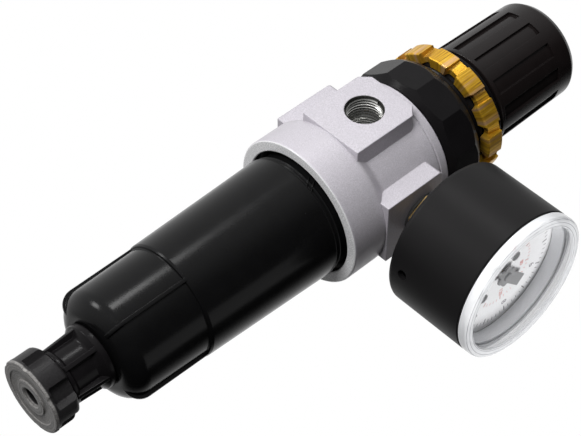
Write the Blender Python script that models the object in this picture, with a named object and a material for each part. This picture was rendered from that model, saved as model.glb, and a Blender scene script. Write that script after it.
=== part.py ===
"""A miniature air filter-regulator with a dial gauge, as an assembly of separate pieces.

The main axis is +Z, from the drain at the bottom to the adjusting knob at the top. The origin is
where the pipe axis (X) crosses the main axis. The gauge faces -Y. Sizes below are in millimetres;
make() turns them into metres.
"""
import math

import bmesh
import bpy
from mathutils import Matrix, Vector

MM = 0.001
GAP = 0.3              # clearance between pieces that rest on each other
TURN = 2 * math.pi
INDEX = 26             # degrees: the bowl, bonnet, nut and drain share this index angle

# body
PORT_FACE = 20.5       # from the main axis to each port face
BOSS_HALF = 9.5
BOSS_BOTTOM, BOSS_TOP, GAUGE_BOSS_TOP = -11.7, 9.6, 7.2
REAR_RISE = 1.7   # the rear block stands this much higher than the front one
BODY_R, SKIRT_R, SKIRT_BORE = 18.0, 20.2, 17.2
SKIRT_BOTTOM, RIM_TOP = -22.2, 12.6
PORT_R, PORT_MOUTH_R = 4.4, 4.95
CHAMBER_R, CHAMBER_BOTTOM, CHAMBER_TOP = 8.4, -4.6, 5.2
DIAPHRAGM_FLOOR, DIAPHRAGM_R = 8.0, 13.2
RECESS_FLOOR, RECESS_R = 10.6, 16.2
CEILING, BOWL_BORE = -9.6, 16.1
BOSS_TUBE_R, BOSS_TUBE_BORE, BOSS_TUBE_END = 9.4, 7.6, -18.0
SEAT_BORE = 5.6
FEED_X, FEED_R = -12.9, 2.3

# bonnet, knob and panel nut
BONNET_BOTTOM, FLATS_BOTTOM, FLATS_TOP, SHOULDER = 12.9, 15.2, 23.3, 24.2
FLAT_RADIUS = 18.9     # from the axis to each of the twelve flats
PANEL_THREAD_R, THREAD_TOP = 14.9, 35.4
SPRING_BORE, SLOT_R, SLOT_HALF = 11.4, 13.0, 1.8
BONNET_ROOF, SPIGOT_R, SPIGOT_TOP = 33.3, 11.6, 39.4
NUT_BOTTOM, NUT_TOP, NUT_R, NOTCH_R, NUT_BORE = 27.0, 32.2, 18.3, 16.8, 15.2
NUT_LOBES, LOBE_SHARE = 12, 0.64
KNOB_BOTTOM, KNOB_TOP, KNOB_R, KNOB_TIP_R = 36.6, 66.0, 14.3, 13.9
KNOB_BORE, KNOB_ROOF, HUB_R, HUB_BOTTOM = 12.3, 61.5, 5.6, 43.5
PANELS, PANEL_WIDTH, PANEL_DEPTH, PANEL_TOP = 12, 16, 0.45, 59.0

# adjusting screw, spring nut, diaphragm
SCREW_R, SCREW_END, COLLAR_R, COLLAR_TOP, COLLAR_HEIGHT = 3.4, 17.5, 6.2, 33.0, 1.4
DRIVE_TOP, DRIVE_ACROSS = 59.0, 5.6
NUT_PLATE_TOP, NUT_PLATE_BOTTOM, NUT_PLATE_R = 31.2, 28.2, 10.9
SPRING_REST_TOP, SPRING_REST_BOTTOM, SPRING_REST_R = 13.1, 12.1, 9.9
RANGE_SPRING_R, RANGE_WIRE = 8.3, 1.6
MEMBRANE_TOP, MEMBRANE_BOTTOM, MEMBRANE_R = 11.7, 10.9, 15.8
RELIEF_SEAT_BOTTOM, RELIEF_SEAT_R = 9.5, 9.6

# main valve and filter
LIP_Z, LIP_R, SEAT_HOLE = -11.1, 3.2, 2.6
STEM_R, STEM_TOP, STEM_DISC_R, STEM_DISC_TOP, STEM_DISC_BOTTOM = 0.8, 9.2, 3.6, -12.9, -13.7
TAIL_R, TAIL_END = 1.4, -21.0
POCKET_R, POCKET_FLOOR, GUIDE_R, GUIDE_TOP = 3.3, -20.0, 7.3, -15.2
GUIDE_FLANGE_TOP, GUIDE_FLANGE_BOTTOM, GUIDE_FLANGE_R = -18.3, -19.8, 10.6
CORE_R, CORE_END, POST_R, POST_END = 3.9, -23.4, 2.0, -52.0
LOUVER_IN, LOUVER_OUT, FIN_R, FINS = 9.7, 10.7, 12.9, 8
FILTER_IN, FILTER_OUT, FILTER_TOP, FILTER_BOTTOM = 6.2, 8.8, -20.1, -47.0

# bowl and drain
BOWL_NECK_R, BOWL_NECK_TOP, LEDGE = 15.8, -10.2, -24.5
BOWL_TOP_R, BOWL_STEP_R, STEP_Z = 16.6, 15.6, -64.0
LOWER_R, LOWER_TIP_R, BOWL_END, SHOULDER_R = 14.75, 14.4, -86.3, 4.6
BOWL_IN_TOP, BOWL_IN_LOW, BOWL_FLOOR, DRAIN_HOLE = 13.6, 12.6, -83.4, 5.4
RIB_HALF, RIB_TOP_R, RIB_LOW_R = 0.5, 15.55, 15.3
O_GROOVE_R, O_GROOVE_TOP, O_GROOVE_BOTTOM = 14.3, -13.8, -16.0
DRAIN_FLANGE_R, DRAIN_FLANGE_BOTTOM, NECK_R, NECK_END = 8.6, -88.2, 6.6, -97.3
NECK_RIBS, NECK_RIB_TOP_R, NECK_RIB_END_R, NECK_RIB_HALF = 6, 8.2, 7.7, 0.55
SHANK_R, SHANK_TOP, DRAIN_BORE, DRAIN_SEAT = 5.1, -78.0, 3.3, -82.0
CAP_TOP, CAP_END, CAP_R, CAP_WAIST_R, CAP_LOBES, CAP_DISC = -97.6, -104.7, 9.6, 8.1, 6, 1.3
OUTLET_R, TUBE_R, TUBE_BORE, TUBE_TOP, TUBE_END = 2.3, 2.9, 1.3, -83.9, -101.0

# gauge, measured along -Y from the main axis
CASE_R, CASE_BACK, CASE_FRONT, CASE_WALL = 20.0, 28.5, 51.5, 1.5
LENS_FRONT, WINDOW_R = 54.6, 17.2
DIAL_R, DIAL_BACK, DIAL_FRONT = 17.8, 47.0, 47.6
POINTER_BACK, POINTER_FRONT, POINTER_LENGTH, POINTER_TAIL = 48.7, 49.1, 13.5, 8.0
BLOW_OUT_R, BLOW_OUT_Y, BLOW_OUT_ANGLE = 1.35, 33.3, -98
SOCKET_HEX, SOCKET_THREAD_R, SOCKET_END = 12.0, 4.0, 12.5
TUBE_ARC_R, BOURDON_BACK, BOURDON_FRONT = 13.6, 32.0, 36.0
MODULE, PINION_TEETH, SECTOR_TEETH = 0.3, 10, 60
TIP_ANGLE, LINK_BACK, LINK_THICK, TAIL_ANGLE, TAIL_LENGTH = -6, 39.9, 0.6, -30, 3.2
SECTOR_REST = -3.5 * 360 / SECTOR_TEETH     # a gap of the sector then meets a tooth of the pinion
SECTOR_BACK, SECTOR_FRONT, BACK_PLATE, FRONT_PLATE, PLATE = 41.0, 42.4, 38.6, 44.6, 0.8
POINTER_ZERO, POINTER_SWEEP = 225, 270      # degrees on the dial, clockwise from the top


def clear_scene():
    for old in list(bpy.data.objects):
        bpy.data.objects.remove(old, do_unlink=True)


def finish(name, colour, roughness, metallic=0.0, alpha=1.0):
    """A material of one colour."""
    made = bpy.data.materials.new(name)
    made.use_nodes = True
    shader = made.node_tree.nodes["Principled BSDF"]
    shader.inputs["Base Color"].default_value = (*colour, 1)
    shader.inputs["Roughness"].default_value = roughness
    shader.inputs["Metallic"].default_value = metallic
    shader.inputs["Alpha"].default_value = alpha
    made.diffuse_color = (*colour, alpha)
    return made


def turned(profile, steps=32, start=0.0):
    """A solid turned about Z from a closed outline of (radius, height) points."""
    bm = bmesh.new()
    turn = Matrix.Rotation(math.radians(start), 3, "Z")
    points = [bm.verts.new(turn @ Vector((r, 0, z))) for r, z in profile]
    for (r0, _), (r1, _), a, b in zip(profile, profile[1:] + profile[:1], points, points[1:] + points[:1]):
        if r0 > 0 or r1 > 0:
            bm.edges.new((a, b))
    bmesh.ops.spin(bm, geom=bm.verts[:] + bm.edges[:], cent=(0, 0, 0), axis=(0, 0, 1),
                   angle=TURN, steps=steps, use_merge=True)
    bmesh.ops.remove_doubles(bm, verts=bm.verts, dist=1e-5)
    bmesh.ops.dissolve_degenerate(bm, edges=bm.edges, dist=1e-6)
    bmesh.ops.recalc_face_normals(bm, faces=bm.faces)
    return bm


def prism(outline, bottom, top):
    """A flat outline of (x, y) points raised along Z."""
    bm = bmesh.new()
    base = bm.faces.new([bm.verts.new((x, y, bottom)) for x, y in outline])
    raised = bmesh.ops.extrude_face_region(bm, geom=[base])["geom"]
    lift = [v for v in raised if isinstance(v, bmesh.types.BMVert)]
    bmesh.ops.translate(bm, verts=lift, vec=(0, 0, top - bottom))
    bmesh.ops.recalc_face_normals(bm, faces=bm.faces)
    return bm


def box(low, high):
    (x0, y0, z0), (x1, y1, z1) = low, high
    return prism([(x0, y0), (x1, y0), (x1, y1), (x0, y1)], z0, z1)


def rod(radius, bottom, top, steps=16):
    return turned([(0, bottom), (radius, bottom), (radius, top), (0, top)], steps)


def tube(inner, outer, bottom, top, steps=20):
    return turned([(inner, bottom), (outer, bottom), (outer, top), (inner, top)], steps)


def ring(radius, section, height, sides=5, steps=24):
    """An O-ring of round section."""
    angles = [TURN * i / sides for i in range(sides)]
    return turned([(radius + section * math.cos(a), height + section * math.sin(a)) for a in angles], steps)


def arc(centre, radius, start, end, count):
    """Points along an arc, with angles in degrees."""
    angles = [math.radians(start + (end - start) * i / count) for i in range(count + 1)]
    return [(centre[0] + radius * math.cos(a), centre[1] + radius * math.sin(a)) for a in angles]


def polar(radius, degrees):
    angle = math.radians(degrees)
    return radius * math.cos(angle), radius * math.sin(angle)


def polygon(apothem, sides, start=0.0):
    """A regular outline whose first flat faces the start angle."""
    corner = apothem / math.cos(math.pi / sides)
    return [polar(corner, start + 360 * (i + 0.5) / sides) for i in range(sides)]


def moved(bm, x=0.0, y=0.0, z=0.0):
    bmesh.ops.translate(bm, verts=bm.verts, vec=(x, y, z))
    return bm


def spun(bm, degrees, axis="Z"):
    bmesh.ops.rotate(bm, verts=bm.verts, matrix=Matrix.Rotation(math.radians(degrees), 3, axis))
    return bm


def forward(bm):
    """Turns a shape built along +Z so that it runs along -Y, with its own Y as height."""
    return spun(bm, 90, "X")


def scratch(bm):
    mesh = bpy.data.meshes.new("scratch")
    bm.to_mesh(mesh)
    bm.free()
    made = bpy.data.objects.new("scratch", mesh)
    bpy.context.collection.objects.link(made)
    return made


def combined(bm, others, operation):
    """The shape with each of the others added or cut away."""
    base = scratch(bm)
    tools = [scratch(other) for other in others]
    for tool in tools:
        step = base.modifiers.new("step", "BOOLEAN")
        step.operation, step.object, step.solver = operation, tool, "EXACT"
    graph = bpy.context.evaluated_depsgraph_get()
    result = bmesh.new()
    result.from_mesh(base.evaluated_get(graph).to_mesh())
    for used in [base, *tools]:
        bpy.data.objects.remove(used, do_unlink=True)
    bmesh.ops.remove_doubles(result, verts=result.verts, dist=1e-5)
    return result


def joined(bm, *others):
    return combined(bm, others, "UNION")


def cut(bm, *others):
    return combined(bm, others, "DIFFERENCE")


def coil(radius, wire, bottom, top, turns, sides=5, steps=10):
    """A compression spring between two heights, with closed end turns."""
    bm = bmesh.new()
    count = int(turns * steps)
    low, high = bottom + wire / 2, top - wire / 2
    loops = []
    for i in range(count + 1):
        share = i / count
        rise = min(max((share - 0.1) / 0.8, 0.0), 1.0)
        height = low + (high - low) * (0.06 * share + 0.94 * rise)
        turn = Matrix.Rotation(TURN * i / steps, 3, "Z")
        section = [polar(wire / 2, 360 * s / sides) for s in range(sides)]
        loops.append([bm.verts.new(turn @ Vector((radius + r, 0, height + z))) for r, z in section])
    for a, b in zip(loops, loops[1:]):
        for s in range(sides):
            bm.faces.new((a[s], a[(s + 1) % sides], b[(s + 1) % sides], b[s]))
    bm.faces.new(loops[0])
    bm.faces.new(loops[-1])
    bmesh.ops.recalc_face_normals(bm, faces=bm.faces)
    return bm


def make(name, bm, material, pivot=(0, 0, 0)):
    """Names a shape as a piece, with its origin on the pivot."""
    bmesh.ops.translate(bm, verts=bm.verts, vec=-Vector(pivot))
    bmesh.ops.scale(bm, verts=bm.verts, vec=(MM, MM, MM))
    mesh = bpy.data.meshes.new(name)
    bm.to_mesh(mesh)
    bm.free()
    mesh.materials.append(material)
    mesh.shade_smooth()
    mesh.set_sharp_from_angle(angle=math.radians(32))
    made = bpy.data.objects.new(name, mesh)
    made.location = Vector(pivot) * MM
    bpy.context.collection.objects.link(made)
    return made


def port_cutter(depth, mouth=PORT_FACE + 0.5, radius=PORT_R):
    """A round port from the face inwards, with a chamfered mouth, along +Z."""
    chamfer = PORT_MOUTH_R - PORT_R
    outline = [(0, depth), (radius, depth), (radius, PORT_FACE - chamfer),
               (radius + chamfer, PORT_FACE), (radius + chamfer, mouth), (0, mouth)]
    return turned(outline, 20)


def body(material):
    shell = turned([(0, SKIRT_BOTTOM), (SKIRT_R - 0.6, SKIRT_BOTTOM), (SKIRT_R, SKIRT_BOTTOM + 0.6),
                    (SKIRT_R, -11.5), (BODY_R, -8.5), (BODY_R, RIM_TOP - 0.5),
                    (BODY_R - 0.5, RIM_TOP), (0, RIM_TOP)], 40)
    corner = 2.5
    port_outline = [(-BOSS_HALF, BOSS_BOTTOM), (BOSS_HALF, BOSS_BOTTOM), (BOSS_HALF, BOSS_TOP - corner),
                    (BOSS_HALF - corner, BOSS_TOP), (corner - BOSS_HALF, BOSS_TOP),
                    (-BOSS_HALF, BOSS_TOP - corner)]
    gauge_outline = [(-BOSS_HALF, BOSS_BOTTOM), (BOSS_HALF, BOSS_BOTTOM), (BOSS_HALF, GAUGE_BOSS_TOP - 1),
                     (BOSS_HALF - 1, GAUGE_BOSS_TOP), (1 - BOSS_HALF, GAUGE_BOSS_TOP),
                     (-BOSS_HALF, GAUGE_BOSS_TOP - 1)]
    port_block = spun(forward(prism(port_outline, -PORT_FACE, PORT_FACE)), 90)
    gauge_block = forward(prism(gauge_outline, 0, PORT_FACE))
    rear_block = moved(forward(prism(gauge_outline, -PORT_FACE, 0)), z=REAR_RISE)
    solid = joined(shell, port_block, gauge_block, rear_block)
    valve_cut = turned([(0, DIAPHRAGM_FLOOR + 0.2), (1.6, DIAPHRAGM_FLOOR + 0.2), (1.6, CHAMBER_TOP),
                        (CHAMBER_R, CHAMBER_TOP), (CHAMBER_R, CHAMBER_BOTTOM), (SEAT_BORE, CHAMBER_BOTTOM),
                        (SEAT_BORE, CEILING), (BOSS_TUBE_BORE, CEILING), (BOSS_TUBE_BORE, BOSS_TUBE_END),
                        (BOSS_TUBE_R, BOSS_TUBE_END), (BOSS_TUBE_R, CEILING), (BOWL_BORE, CEILING),
                        (BOWL_BORE, -19.2), (SKIRT_BORE, -20.0), (SKIRT_BORE, SKIRT_BOTTOM - 1),
                        (0, SKIRT_BOTTOM - 1)], 32)
    diaphragm_cut = turned([(0, DIAPHRAGM_FLOOR), (DIAPHRAGM_R, DIAPHRAGM_FLOOR), (DIAPHRAGM_R, RECESS_FLOOR),
                            (RECESS_R, RECESS_FLOOR), (RECESS_R, RIM_TOP + 1), (0, RIM_TOP + 1)], 32)
    ports = [spun(spun(port_cutter(6), 90, "Y"), angle) for angle in (0, 90, -90)]
    inlet = spun(port_cutter(10.4), -90, "Y")
    feed = moved(rod(FEED_R, CEILING - 1, -1, 12), x=FEED_X)
    make("body", cut(solid, valve_cut, diaphragm_cut, *ports, inlet, feed), material)


def bonnet(material):
    flats = prism(polygon(FLAT_RADIUS, 12, INDEX - 2), BONNET_BOTTOM, SHOULDER)
    chamfers = turned([(0, BONNET_BOTTOM), (17.4, BONNET_BOTTOM), (20.0, FLATS_BOTTOM + 0.3),
                       (20.0, FLATS_TOP - 0.3), (17.9, SHOULDER), (0, SHOULDER)], 48)
    head = combined(flats, [chamfers], "INTERSECT")
    neck = turned([(0, SHOULDER - 1), (PANEL_THREAD_R, SHOULDER - 1), (PANEL_THREAD_R, THREAD_TOP - 0.6),
                   (PANEL_THREAD_R - 0.6, THREAD_TOP), (SPIGOT_R, THREAD_TOP), (SPIGOT_R, SPIGOT_TOP),
                   (0, SPIGOT_TOP)], 32)
    hollow = rod(SPRING_BORE, BONNET_BOTTOM - 1, BONNET_ROOF, 24)
    slots = box((-SLOT_R, -SLOT_HALF, BONNET_BOTTOM - 1), (SLOT_R, SLOT_HALF, NUT_PLATE_TOP + 0.6))
    screw_hole = rod(COLLAR_R - 1.4, BONNET_ROOF - 1, SPIGOT_TOP + 1, 16)
    make("bonnet", cut(joined(head, neck), hollow, slots, screw_hole), material)


def panel_nut(material):
    """A slotted ring nut with twelve raised lobes."""
    pitch = 360 / NUT_LOBES
    outline = []
    for lobe in range(NUT_LOBES):
        middle = INDEX + lobe * pitch
        half = pitch * LOBE_SHARE / 2
        outline += [polar(NOTCH_R, middle - half - 2), polar(NUT_R, middle - half + 1),
                    polar(NUT_R, middle + half - 1), polar(NOTCH_R, middle + half + 2)]
    blank = prism(outline, NUT_BOTTOM, NUT_TOP)
    make("panel_nut", cut(blank, rod(NUT_BORE, NUT_BOTTOM - 1, NUT_TOP + 1, 32)), material)


def adjusting_knob(material):
    """The hollow knob, its grip cut with long flat-bottomed panels, and its drive hub."""
    tip = KNOB_TOP - 1.9
    shell = turned([(HUB_R, HUB_BOTTOM), (HUB_R, KNOB_ROOF), (KNOB_BORE, KNOB_ROOF), (KNOB_BORE, KNOB_BOTTOM),
                    (KNOB_R, KNOB_BOTTOM), (KNOB_TIP_R, tip), (KNOB_TIP_R - 0.5, KNOB_TOP - 0.7),
                    (KNOB_TIP_R - 1.6, KNOB_TOP), (0, KNOB_TOP), (0, HUB_BOTTOM)], 48)
    cutters = []
    for panel in range(PANELS):
        centre = 15 + panel * 360 / PANELS
        half = PANEL_WIDTH / 2
        inner, outer = KNOB_TIP_R - PANEL_DEPTH, KNOB_R + 1
        outline = [polar(inner, centre - half), polar(inner + 0.05, centre), polar(inner, centre + half),
                   polar(outer, centre + half), polar(outer, centre - half)]
        cutters.append(prism(outline, KNOB_BOTTOM + 2.4, PANEL_TOP))
    socket = prism(polygon(DRIVE_ACROSS / 2 + GAP, 6), HUB_BOTTOM - 1, DRIVE_TOP + 0.6)
    make("adjusting_knob", cut(shell, socket, *cutters), material)


def adjusting_screw(material):
    shaft = turned([(0, SCREW_END), (SCREW_R - 0.5, SCREW_END), (SCREW_R, SCREW_END + 0.5),
                    (SCREW_R, COLLAR_TOP - COLLAR_HEIGHT), (COLLAR_R, COLLAR_TOP - COLLAR_HEIGHT),
                    (COLLAR_R, COLLAR_TOP), (4.2, COLLAR_TOP), (4.2, SPIGOT_TOP + 0.8), (0, SPIGOT_TOP + 0.8)], 18)
    drive = prism(polygon(DRIVE_ACROSS / 2, 6), SPIGOT_TOP - 1, DRIVE_TOP)
    make("adjusting_screw", joined(shaft, drive), material)


def spring_nut(material):
    plate = rod(NUT_PLATE_R, NUT_PLATE_BOTTOM, NUT_PLATE_TOP, 20)
    tabs = box((GAP - SLOT_R, GAP - SLOT_HALF, NUT_PLATE_BOTTOM),
               (SLOT_R - GAP, SLOT_HALF - GAP, NUT_PLATE_TOP))
    thread = rod(SCREW_R + GAP, NUT_PLATE_BOTTOM - 1, NUT_PLATE_TOP + 1, 18)
    make("spring_nut", cut(joined(plate, tabs), thread), material)


def diaphragm_group(steel, rubber, plastic):
    """Spring, plates and membrane that set the pressure."""
    make("range_spring", coil(RANGE_SPRING_R, RANGE_WIRE, SPRING_REST_TOP + GAP, NUT_PLATE_BOTTOM - GAP, 5),
         steel)
    make("spring_rest", turned([(2.2, SPRING_REST_BOTTOM), (SPRING_REST_R, SPRING_REST_BOTTOM),
                                (SPRING_REST_R, SPRING_REST_TOP), (6.9, SPRING_REST_TOP), (6.3, 14.6),
                                (2.2, 14.6)], 24), steel)
    make("diaphragm", turned([(3.0, MEMBRANE_BOTTOM), (10.6, MEMBRANE_BOTTOM), (11.3, MEMBRANE_BOTTOM + 0.9),
                              (12.3, MEMBRANE_BOTTOM + 0.9), (13.0, MEMBRANE_BOTTOM),
                              (MEMBRANE_R, MEMBRANE_BOTTOM), (MEMBRANE_R, MEMBRANE_TOP),
                              (13.3, MEMBRANE_TOP), (12.7, MEMBRANE_TOP + 0.8), (11.0, MEMBRANE_TOP + 0.8),
                              (10.3, MEMBRANE_TOP), (3.0, MEMBRANE_TOP)], 18), rubber)
    make("relief_seat", turned([(0.5, RELIEF_SEAT_BOTTOM), (RELIEF_SEAT_R, RELIEF_SEAT_BOTTOM),
                                (RELIEF_SEAT_R, MEMBRANE_BOTTOM - GAP), (2.7, MEMBRANE_BOTTOM - GAP),
                                (2.7, MEMBRANE_TOP + 0.1), (1.9, MEMBRANE_TOP + 0.1), (1.9, 14.2),
                                (0.5, 14.2)], 20), steel)
    make("slip_ring", tube(14.0, MEMBRANE_R, MEMBRANE_TOP + GAP, RIM_TOP), plastic)


def main_valve(brass, rubber, plastic, steel):
    make("valve_seat", turned([(SEAT_HOLE, CHAMBER_BOTTOM - GAP), (SEAT_BORE - GAP, CHAMBER_BOTTOM - GAP),
                               (SEAT_BORE - GAP, CEILING - GAP), (7.2, CEILING - GAP), (7.2, -10.7),
                               (LIP_R + 0.3, -10.7), (LIP_R, LIP_Z), (SEAT_HOLE, LIP_Z)], 20), brass)
    make("valve_stem", turned([(0, TAIL_END), (TAIL_R, TAIL_END), (TAIL_R, STEM_DISC_BOTTOM),
                               (STEM_DISC_R, STEM_DISC_BOTTOM), (STEM_DISC_R, STEM_DISC_TOP),
                               (STEM_R, STEM_DISC_TOP), (STEM_R, STEM_TOP - 0.5), (STEM_R - 0.4, STEM_TOP),
                               (0, STEM_TOP)], 14), brass)
    make("poppet_seal", tube(STEM_R + GAP, 3.9, STEM_DISC_TOP + GAP, LIP_Z - GAP, 16), rubber)
    make("valve_spring", coil(2.5, 0.5, POCKET_FLOOR + GAP, STEM_DISC_BOTTOM - GAP, 4.5, 4, 8), steel)
    guide = turned([(0, POST_END), (POST_R, POST_END), (POST_R, CORE_END), (CORE_R, CORE_END),
                    (CORE_R, GUIDE_FLANGE_BOTTOM), (GUIDE_FLANGE_R, GUIDE_FLANGE_BOTTOM),
                    (GUIDE_FLANGE_R, GUIDE_FLANGE_TOP), (GUIDE_R, GUIDE_FLANGE_TOP), (GUIDE_R, GUIDE_TOP),
                    (POCKET_R, GUIDE_TOP), (POCKET_R, POCKET_FLOOR), (TAIL_R + GAP, POCKET_FLOOR),
                    (TAIL_R + GAP, TAIL_END - 1.5), (0, TAIL_END - 1.5)], 16)
    holes = [spun(moved(rod(0.9, GUIDE_FLANGE_BOTTOM - 1, GUIDE_TOP + 1, 8), x=5.2), 90 * i + 45)
             for i in range(4)]
    make("valve_guide", cut(guide, *holes), plastic)


def filter_group(plastic, sintered, rubber):
    sleeve = tube(LOUVER_IN, LOUVER_OUT, GUIDE_FLANGE_TOP + GAP, CEILING - GAP)
    fins = []
    for fin in range(FINS):
        blade = box((LOUVER_OUT - 0.5, -0.4, -3.2), (FIN_R, 0.4, 3.2))
        fins.append(spun(moved(spun(blade, 38, "X"), z=-14.2), 360 * fin / FINS))
    make("louver", joined(sleeve, *fins), plastic)
    make("filter_element", tube(FILTER_IN, FILTER_OUT, FILTER_BOTTOM, FILTER_TOP), sintered)
    top = FILTER_BOTTOM - GAP
    make("baffle", turned([(POST_R + GAP, top), (9.5, top), (12.4, top - 2.2), (12.4, top - 3.7),
                           (11.6, top - 3.7), (11.6, top - 2.6), (9.2, top - 1.2), (3.6, top - 1.2),
                           (3.6, top - 4.2), (POST_R + GAP, top - 4.2)], 16), plastic)
    make("bowl_o_ring", ring(O_GROOVE_R + 0.9, 0.6, (O_GROOVE_TOP + O_GROOVE_BOTTOM) / 2), rubber)


def bowl(material):
    """The filter bowl: a plain upper barrel, a ribbed lower barrel and a rounded end."""
    bend = (LOWER_TIP_R - SHOULDER_R, BOWL_END + SHOULDER_R)
    outer = [(BOWL_NECK_R, BOWL_NECK_TOP), (BOWL_NECK_R, O_GROOVE_TOP), (O_GROOVE_R, O_GROOVE_TOP),
             (O_GROOVE_R, O_GROOVE_BOTTOM), (BOWL_NECK_R, O_GROOVE_BOTTOM), (BOWL_NECK_R, LEDGE + 0.3),
             (BOWL_TOP_R - 0.3, LEDGE), (BOWL_TOP_R, LEDGE - 0.4), (BOWL_STEP_R, STEP_Z + 0.3),
             (BOWL_STEP_R - 0.3, STEP_Z), (LOWER_R, STEP_Z), *arc(bend, SHOULDER_R, 0, -90, 3)]
    inner = [(DRAIN_HOLE, BOWL_END), (DRAIN_HOLE, BOWL_FLOOR),
             *arc((BOWL_IN_LOW - 3, BOWL_FLOOR + 3), 3, -90, 0, 3), (BOWL_IN_TOP, BOWL_NECK_TOP)]
    shell = turned(outer + inner, 32)
    tip = (RIB_LOW_R - SHOULDER_R, BOWL_END + SHOULDER_R)
    rib_outline = [(13.9, STEP_Z + 1), (BOWL_STEP_R - 0.4, STEP_Z + 1), (RIB_TOP_R, STEP_Z + 0.1),
                   *arc(tip, SHOULDER_R, 0, -90, 4), (9.2, BOWL_END), (9.2, BOWL_FLOOR - 1.6),
                   (10.6, BOWL_FLOOR - 1.6), (13.9, BOWL_FLOOR + 3.4)]
    ribs = [spun(spun(prism(rib_outline, -RIB_HALF, RIB_HALF), 90, "X"), INDEX + 90 * i)
            for i in range(4)]
    make("bowl", joined(shell, *ribs), material)


def drain(plastic, rubber, brass):
    core = turned([(0, NECK_END), (NECK_RIB_END_R, NECK_END), (NECK_RIB_END_R, NECK_END + 0.6),
                   (NECK_R, NECK_END + 0.9), (NECK_R, DRAIN_FLANGE_BOTTOM - 0.3), (DRAIN_FLANGE_R, DRAIN_FLANGE_BOTTOM),
                   (DRAIN_FLANGE_R, BOWL_END - GAP), (SHANK_R, BOWL_END - GAP), (SHANK_R, SHANK_TOP),
                   (0, SHANK_TOP)], 24)
    rib_outline = [(NECK_R - 0.6, NECK_END + 0.2), (NECK_RIB_END_R, NECK_END + 0.2),
                   (NECK_RIB_TOP_R, DRAIN_FLANGE_BOTTOM + 0.4), (NECK_R - 0.6, DRAIN_FLANGE_BOTTOM + 0.4)]
    ribs = [spun(spun(prism(rib_outline, -NECK_RIB_HALF, NECK_RIB_HALF), 90, "X"), INDEX + 2 + 60 * i)
            for i in range(NECK_RIBS)]
    bore = turned([(0, NECK_END - 1), (DRAIN_BORE, NECK_END - 1), (DRAIN_BORE, DRAIN_SEAT),
                   (1.6, DRAIN_SEAT + 0.6), (1.6, SHANK_TOP + 1), (0, SHANK_TOP + 1)], 16)
    make("drain_body", cut(joined(core, *ribs), bore), plastic)
    gasket_top = BOWL_FLOOR + GAP + 0.8
    make("drain_gasket", tube(SHANK_R + GAP, 7.8, BOWL_FLOOR + GAP, gasket_top, 20), rubber)
    nut = prism(polygon(7.6, 6), gasket_top + GAP, gasket_top + GAP + 2.8)
    make("drain_nut", cut(nut, rod(SHANK_R + GAP, gasket_top - 1, gasket_top + 5, 20)), brass)
    stem = turned([(TUBE_BORE, TUBE_END), (TUBE_R, TUBE_END), (TUBE_R, TUBE_TOP), (TUBE_BORE, TUBE_TOP)], 14)
    make("drain_stem", stem, brass)
    make("drain_seal", turned([(0, TUBE_TOP + GAP), (2.9, TUBE_TOP + GAP), (2.9, TUBE_TOP + 1.0),
                               (1.7, DRAIN_SEAT - GAP), (0, DRAIN_SEAT - GAP)], 14), rubber)
    drain_knob(plastic)


def drain_knob(material):
    """A six-lobed cap with a full disc at its end and a raised hub round the outlet."""
    shell = turned([(0, CAP_END), (CAP_R - 0.4, CAP_END), (CAP_R, CAP_END + 0.4), (CAP_R, CAP_TOP - 1.2),
                    (CAP_R - 0.5, CAP_TOP - 0.4), (CAP_R - 1.6, CAP_TOP), (0, CAP_TOP)], 36)
    cutters = []
    for lobe in range(CAP_LOBES):
        middle = INDEX + 30 + 360 * lobe / CAP_LOBES
        outline = [polar(CAP_WAIST_R, middle - 17), polar(CAP_WAIST_R, middle), polar(CAP_WAIST_R, middle + 17),
                   polar(CAP_R + 1, middle + 19), polar(CAP_R + 1, middle - 19)]
        cutters.append(prism(outline, CAP_END + CAP_DISC, CAP_TOP + 1))
    groove = tube(4.6, 7.0, CAP_END - 1, CAP_END + 0.5, 24)
    outlet = turned([(0, CAP_END - 1), (OUTLET_R, CAP_END - 1), (OUTLET_R, TUBE_END - GAP),
                     (TUBE_R + GAP, TUBE_END - GAP), (TUBE_R + GAP, CAP_TOP + 1), (0, CAP_TOP + 1)], 14)
    make("drain_knob", cut(shell, groove, outlet, *cutters), material)


def rear_plug(brass):
    """The headless hexagon-socket plug that closes the rear gauge port."""
    end = PORT_FACE - 0.5
    plug = turned([(0, 13.5), (SOCKET_THREAD_R, 13.5), (SOCKET_THREAD_R, end - 0.4),
                   (SOCKET_THREAD_R - 0.4, end), (0, end)], 24)
    socket = prism(polygon(2.5, 6), end - 4, end + 1)
    make("port_plug", spun(cut(plug, socket), -90, "X"), brass)


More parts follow.
